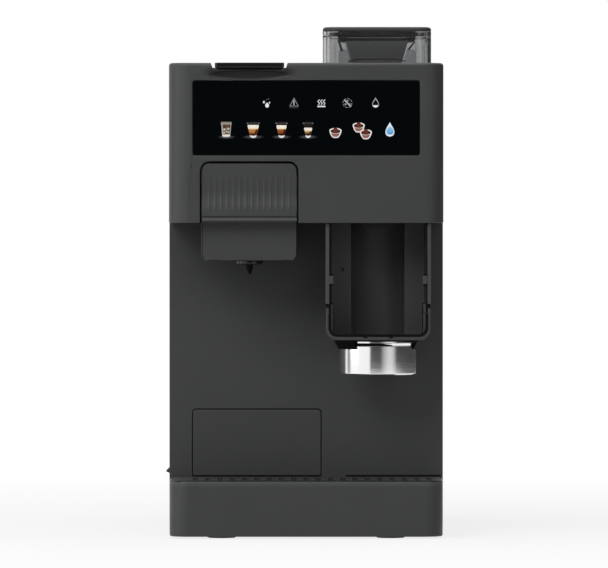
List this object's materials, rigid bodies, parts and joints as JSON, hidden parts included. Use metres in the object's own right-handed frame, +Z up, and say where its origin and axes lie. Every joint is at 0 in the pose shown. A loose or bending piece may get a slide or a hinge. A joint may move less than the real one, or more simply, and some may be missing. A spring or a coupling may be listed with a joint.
{
  "type": "espresso pod machine",
  "caption": "Countertop espresso pod machine with a bean hopper and grinder, sliding spout, dosing cup, touch display, drip tray, used-pod drawer and rear water tank.",
  "frame": {"origin": "on the surface that it stands on, under the middle of its outline", "axes": "+Z up, the front with the display faces -Y, +X to the right seen from the front"},
  "size_m": [0.2454, 0.3998, 0.448],
  "materials": {
    "body_plastic": "satin dark grey",
    "dark_plastic": "matte near black",
    "gloss_black": "gloss black",
    "display_glass": "black glass",
    "smoky_clear": "smoky clear",
    "rubber": "matte black",
    "steel": "polished",
    "aluminium": "cast",
    "circuit_board": "green lacquer"
  },
  "bodies": {
    "machine": {"base_plate": "dark_plastic", "foot_front_left": "rubber", "foot_front_right": "rubber", "foot_rear_left": "rubber", "foot_rear_right": "rubber", "lower_front_panel": "body_plastic", "side_panel_left": "body_plastic", "side_panel_right": "body_plastic", "rear_cover": "body_plastic", "upper_housing": "body_plastic", "head_underside": "dark_plastic", "display_glass": "display_glass", "display_board": "circuit_board", "lid_hinge_base": "dark_plastic", "lid_hinge_pin": "steel", "brew_chamber": "dark_plastic", "pod_holder": "gloss_black", "outlet_tube": "steel", "carriage_guide": "dark_plastic", "hopper_body": "smoky_clear", "hopper_funnel": "dark_plastic", "grinder_housing": "dark_plastic", "upper_burr": "steel", "grinder_gearbox": "aluminium", "grinder_motor": "aluminium", "grounds_chute": "dark_plastic", "bay_frame": "body_plastic", "bay_liner": "dark_plastic", "bay_back": "dark_plastic", "cup_collar": "gloss_black", "drawer_shelf": "dark_plastic", "tank_cradle": "body_plastic", "mains_inlet": "dark_plastic", "power_switch": "dark_plastic", "pump": "aluminium", "thermoblock": "aluminium", "thermoblock_bracket": "steel", "control_board": "circuit_board", "suction_hose": "rubber", "pump_hose": "rubber", "brew_hose": "steel"},
    "pod_lid": {"pod_lid": "body_plastic", "pod_lid_bar": "gloss_black", "injector": "steel"},
    "spout": {"spout_carriage": "body_plastic", "outlet_boss": "body_plastic", "spout_nozzle": "dark_plastic"},
    "hopper_lid": {"hopper_lid": "dark_plastic"},
    "burr": {"lower_burr": "steel"},
    "bail": {"cup_bail": "body_plastic"},
    "dosing_cup": {"dosing_cup": "steel"},
    "tray": {"drip_tray": "body_plastic"},
    "grille": {"drip_grille": "dark_plastic"},
    "catch": {"tray_catch": "dark_plastic"},
    "drawer": {"drawer_door": "body_plastic", "pod_drawer": "dark_plastic"},
    "rocker": {"power_rocker": "gloss_black"},
    "tank": {"water_tank": "smoky_clear", "tank_outlet": "rubber"},
    "tank_lid": {"tank_lid": "dark_plastic"}
  },
  "joints": [
    {"name": "pod_lid_hinge", "type": "hinge", "parent": "machine", "child": "pod_lid", "pos_m": [-0.0497, -0.06, 0.412], "axis": [-1, 0, 0], "range_deg": [0, 95]},
    {"name": "spout_slide", "type": "slide", "parent": "machine", "child": "spout", "axis": [0, 0, -1], "range_m": [0, 0.04]},
    {"name": "hopper_lid_lift", "type": "slide", "parent": "machine", "child": "hopper_lid", "axis": [0, 0, 1], "range_m": [0, 0.06]},
    {"name": "burr_spin", "type": "hinge", "parent": "machine", "child": "burr", "pos_m": [0.0624, -0.062, 0.3787], "axis": [0, 0, 1], "continuous": true},
    {"name": "bail_pivot", "type": "hinge", "parent": "machine", "child": "bail", "pos_m": [0.063, -0.1911, 0.2009], "axis": [-1, 0, 0], "range_deg": [0, 85]},
    {"name": "cup_twist", "type": "hinge", "parent": "machine", "child": "dosing_cup", "pos_m": [0.063, -0.15, 0.1647], "axis": [0, 0, 1], "range_deg": [0, 35]},
    {"name": "tray_slide", "type": "slide", "parent": "machine", "child": "tray", "axis": [0, -1, 0], "range_m": [0, 0.12]},
    {"name": "grille_lift", "type": "slide", "parent": "tray", "child": "grille", "axis": [0, 0, 1], "range_m": [0, 0.04]},
    {"name": "catch_press", "type": "slide", "parent": "machine", "child": "catch", "axis": [1, 0, 0], "range_m": [0, 0.0025], "stiffness_N_per_m": 800},
    {"name": "drawer_slide", "type": "slide", "parent": "machine", "child": "drawer", "axis": [0, -1, 0], "range_m": [0, 0.1]},
    {"name": "rocker_pivot", "type": "hinge", "parent": "machine", "child": "rocker", "pos_m": [0.045, 0.1939, 0.0348], "axis": [1, 0, 0], "range_deg": [0, 16]},
    {"name": "tank_lift", "type": "slide", "parent": "machine", "child": "tank", "axis": [0, 0, 1], "range_m": [0, 0.1]},
    {"name": "tank_lid_hinge", "type": "hinge", "parent": "tank", "child": "tank_lid", "pos_m": [0, 0.1941, 0.4055], "axis": [-1, 0, 0], "range_deg": [0, 100]}
  ]
}
